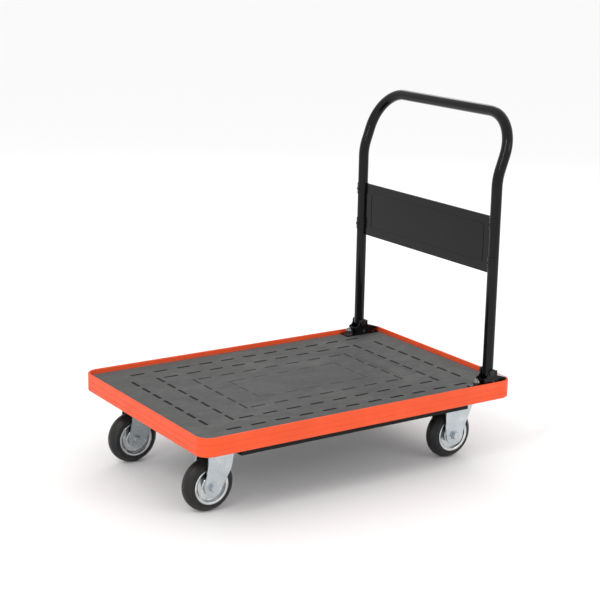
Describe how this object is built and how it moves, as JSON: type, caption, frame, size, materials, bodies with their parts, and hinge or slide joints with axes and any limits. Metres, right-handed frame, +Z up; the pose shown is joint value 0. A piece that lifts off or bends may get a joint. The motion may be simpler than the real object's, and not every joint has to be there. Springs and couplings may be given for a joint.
{
  "type": "folding platform cart",
  "caption": "Flat load cart with a rubber-edged anti-slip deck, fixed and swivel casters, and a tubular push handle that folds down over the deck.",
  "frame": {"origin": "on the floor, under the middle of the deck", "axes": "+X towards the handle end, +Y to the pusher's right as they face the deck, +Z up"},
  "size_m": [0.905, 0.605, 0.8984],
  "materials": {
    "black_paint": "gloss black enamel",
    "chassis_paint": "satin black enamel",
    "mat_rubber": "matte moulded rubber",
    "bumper_orange": "soft satin PVC",
    "zinc": "bright zinc plating",
    "black_fastener": "black oxide",
    "spring_steel": "oiled spring steel",
    "tyre_rubber": "satin moulded rubber",
    "bush_nylon": "natural nylon"
  },
  "bodies": {
    "deck": {"deck_pan": "chassis_paint", "deck_mat": "mat_rubber", "edge_bumper": "bumper_orange", "side_rail_left": "chassis_paint", "side_rail_right": "chassis_paint", "cross_member_front": "chassis_paint", "cross_member_rear": "chassis_paint", "caster_bolts": "zinc", "caster_nuts": "zinc", "hinge_bracket_left": "black_paint", "hinge_bracket_right": "black_paint", "bracket_studs": "zinc", "bracket_cap_nuts": "zinc", "bracket_screws": "black_fastener", "bracket_screw_nuts": "zinc", "pivot_pins": "black_fastener", "pivot_nuts": "black_fastener", "latch_pins": "zinc", "latch_springs": "spring_steel", "fixed_fork_left": "zinc", "fixed_fork_right": "zinc", "fixed_axles": "zinc", "fixed_axle_nuts": "zinc", "swivel_plate_left": "zinc", "swivel_plate_right": "zinc", "kingpins": "zinc", "kingpin_nuts": "zinc"},
    "handle": {"handle_tube": "black_paint", "leg_foot_left": "black_paint", "leg_foot_right": "black_paint", "handle_panel": "black_paint", "panel_screws": "black_fastener"},
    "latch_left": {"latch_pedal_left": "black_paint"},
    "latch_right": {"latch_pedal_right": "black_paint"},
    "swivel_left": {"swivel_fork_left": "zinc", "swivel_balls_left": "zinc", "swivel_axle_left": "zinc", "swivel_axle_nut_left": "zinc"},
    "wheel_front_left": {"tyre_front_left": "tyre_rubber", "rim_front_left": "zinc", "hub_bush_front_left": "bush_nylon"},
    "wheel_rear_left": {"tyre_rear_left": "tyre_rubber", "rim_rear_left": "zinc", "hub_bush_rear_left": "bush_nylon"},
    "swivel_right": {"swivel_fork_right": "zinc", "swivel_balls_right": "zinc", "swivel_axle_right": "zinc", "swivel_axle_nut_right": "zinc"},
    "wheel_front_right": {"tyre_front_right": "tyre_rubber", "rim_front_right": "zinc", "hub_bush_front_right": "bush_nylon"},
    "wheel_rear_right": {"tyre_rear_right": "tyre_rubber", "rim_rear_right": "zinc", "hub_bush_rear_right": "bush_nylon"}
  },
  "joints": [
    {"name": "handle_fold", "type": "hinge", "parent": "deck", "child": "handle", "pos_m": [0.3853, 0, 0.244], "axis": [0, -1, 0], "range_deg": [0, 90]},
    {"name": "latch_press_left", "type": "hinge", "parent": "deck", "child": "latch_left", "pos_m": [0.39, -0.2777, 0.2185], "axis": [0, 1, 0], "range_deg": [0, 8], "stiffness_Nm_per_rad": 1.2, "springref_deg": -8.59},
    {"name": "latch_press_right", "type": "hinge", "parent": "deck", "child": "latch_right", "pos_m": [0.39, 0.2777, 0.2185], "axis": [0, 1, 0], "range_deg": [0, 8], "stiffness_Nm_per_rad": 1.2, "springref_deg": -8.59},
    {"name": "swivel_turn_left", "type": "hinge", "parent": "deck", "child": "swivel_left", "pos_m": [0.371, -0.189, 0.15], "axis": [0, 0, 1], "continuous": true},
    {"name": "swivel_turn_right", "type": "hinge", "parent": "deck", "child": "swivel_right", "pos_m": [0.371, 0.189, 0.15], "axis": [0, 0, 1], "continuous": true},
    {"name": "front_wheel_spin_left", "type": "hinge", "parent": "deck", "child": "wheel_front_left", "pos_m": [-0.374, -0.189, 0.065], "axis": [0, 1, 0], "continuous": true},
    {"name": "rear_wheel_spin_left", "type": "hinge", "parent": "swivel_left", "child": "wheel_rear_left", "pos_m": [0.338, -0.189, 0.065], "axis": [0, 1, 0], "continuous": true},
    {"name": "front_wheel_spin_right", "type": "hinge", "parent": "deck", "child": "wheel_front_right", "pos_m": [-0.374, 0.189, 0.065], "axis": [0, 1, 0], "continuous": true},
    {"name": "rear_wheel_spin_right", "type": "hinge", "parent": "swivel_right", "child": "wheel_rear_right", "pos_m": [0.338, 0.189, 0.065], "axis": [0, 1, 0], "continuous": true}
  ]
}
